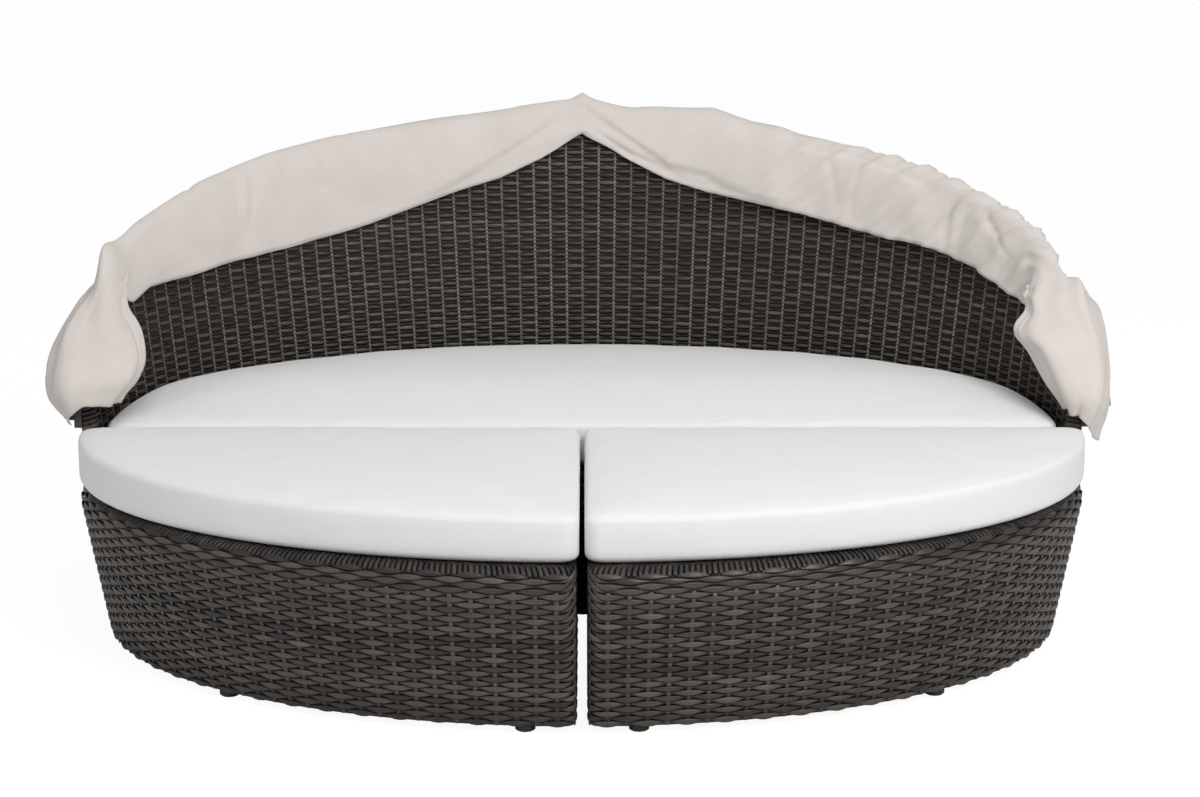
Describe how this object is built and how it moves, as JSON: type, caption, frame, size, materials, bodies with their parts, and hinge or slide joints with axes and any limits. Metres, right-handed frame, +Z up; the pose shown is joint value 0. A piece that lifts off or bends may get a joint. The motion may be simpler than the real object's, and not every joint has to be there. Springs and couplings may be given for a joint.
{
  "type": "outdoor daybed with canopy",
  "caption": "Oval woven daybed: half-oval sofa with curved back, quarter-oval ottomans, loose cushions and a fold-back bow canopy.",
  "frame": {"origin": "on the floor, under the middle of the overall box", "axes": "+X towards the right-hand end, -Y towards the front (ottomans), +Z up"},
  "size_m": [2.2816, 1.7712, 1.0159],
  "materials": {
    "wicker": "flat woven synthetic strand, mixed dark browns",
    "seat_deck": "woven synthetic strand",
    "frame": "powder coat",
    "foot": "moulded",
    "bow_tube": "brown powder coat",
    "fastener": "zinc plated",
    "washer": "nylon",
    "cushion_cloth": "fine plain weave",
    "canopy_cloth": "light plain weave"
  },
  "bodies": {
    "sofa": {"sofa_frame": "frame", "sofa_side_weave": "wicker", "sofa_seat_deck": "seat_deck", "sofa_foot_1": "foot", "sofa_foot_2": "foot", "sofa_foot_3": "foot", "sofa_foot_4": "foot", "sofa_foot_5": "foot", "sofa_foot_6": "foot", "backrest_frame": "frame", "backrest_rim_wrap": "wicker", "backrest_inner_weave": "wicker", "backrest_outer_weave": "wicker", "canopy_gather_left": "canopy_cloth", "canopy_gather_right": "canopy_cloth", "canopy_back_drape": "canopy_cloth", "pivot_saddle_left": "frame", "pivot_bolt_left": "fastener", "pivot_washer_rear_left": "washer", "pivot_washer_mid_left": "washer", "pivot_washer_front_left": "washer", "pivot_saddle_right": "frame", "pivot_bolt_right": "fastener", "pivot_washer_rear_right": "washer", "pivot_washer_mid_right": "washer", "pivot_washer_front_right": "washer"},
    "rear_bow": {"rear_bow_tube_left": "bow_tube", "rear_bow_tube_right": "bow_tube", "rear_bow_connector": "bow_tube"},
    "mid_bow": {"mid_bow_tube_left": "bow_tube", "mid_bow_tube_right": "bow_tube", "mid_bow_connector": "bow_tube"},
    "front_bow": {"front_bow_tube_left": "bow_tube", "front_bow_tube_right": "bow_tube", "front_bow_connector": "bow_tube", "canopy_front_flap": "canopy_cloth"},
    "ottoman_left": {"ottoman_left_frame": "frame", "ottoman_left_side_weave": "wicker", "ottoman_left_seat_deck": "seat_deck", "ottoman_left_foot_1": "foot", "ottoman_left_foot_2": "foot", "ottoman_left_foot_3": "foot", "ottoman_left_foot_4": "foot"},
    "cushion_left": {"cushion_left": "cushion_cloth"},
    "ottoman_right": {"ottoman_right_frame": "frame", "ottoman_right_side_weave": "wicker", "ottoman_right_seat_deck": "seat_deck", "ottoman_right_foot_1": "foot", "ottoman_right_foot_2": "foot", "ottoman_right_foot_3": "foot", "ottoman_right_foot_4": "foot"},
    "cushion_right": {"cushion_right": "cushion_cloth"},
    "cushion_rear": {"cushion_rear": "cushion_cloth"}
  },
  "joints": [
    {"name": "front_bow_fold", "type": "hinge", "parent": "sofa", "child": "front_bow", "pos_m": [0, -0.08394, 0.44], "axis": [1, 0, 0], "range_deg": [0, 105], "deforming": ["canopy_front_flap", "canopy_back_drape", "canopy_gather_left", "canopy_gather_right"]},
    {"name": "mid_bow_fold", "type": "hinge", "parent": "sofa", "child": "mid_bow", "pos_m": [0, -0.08394, 0.44], "axis": [1, 0, 0], "range_deg": [0, 70.01]},
    {"name": "rear_bow_fold", "type": "hinge", "parent": "sofa", "child": "rear_bow", "pos_m": [0, -0.08394, 0.44], "axis": [1, 0, 0], "range_deg": [0, 35.01]},
    {"name": "ottoman_left_pull", "type": "slide", "parent": "sofa", "child": "ottoman_left", "axis": [0, -1, 0], "range_m": [0, 0.7]},
    {"name": "ottoman_right_pull", "type": "slide", "parent": "sofa", "child": "ottoman_right", "axis": [0, -1, 0], "range_m": [0, 0.7]},
    {"name": "cushion_left_lift", "type": "slide", "parent": "ottoman_left", "child": "cushion_left", "axis": [0, 0, 1], "range_m": [0, 0.25]},
    {"name": "cushion_right_lift", "type": "slide", "parent": "ottoman_right", "child": "cushion_right", "axis": [0, 0, 1], "range_m": [0, 0.25]},
    {"name": "cushion_rear_lift", "type": "slide", "parent": "sofa", "child": "cushion_rear", "axis": [0, 0, 1], "range_m": [0, 0.35]}
  ],
  "couplings": [
    {"joint": "mid_bow_fold", "follows": "front_bow_fold", "ratio": 0.66667},
    {"joint": "rear_bow_fold", "follows": "front_bow_fold", "ratio": 0.33333}
  ]
}
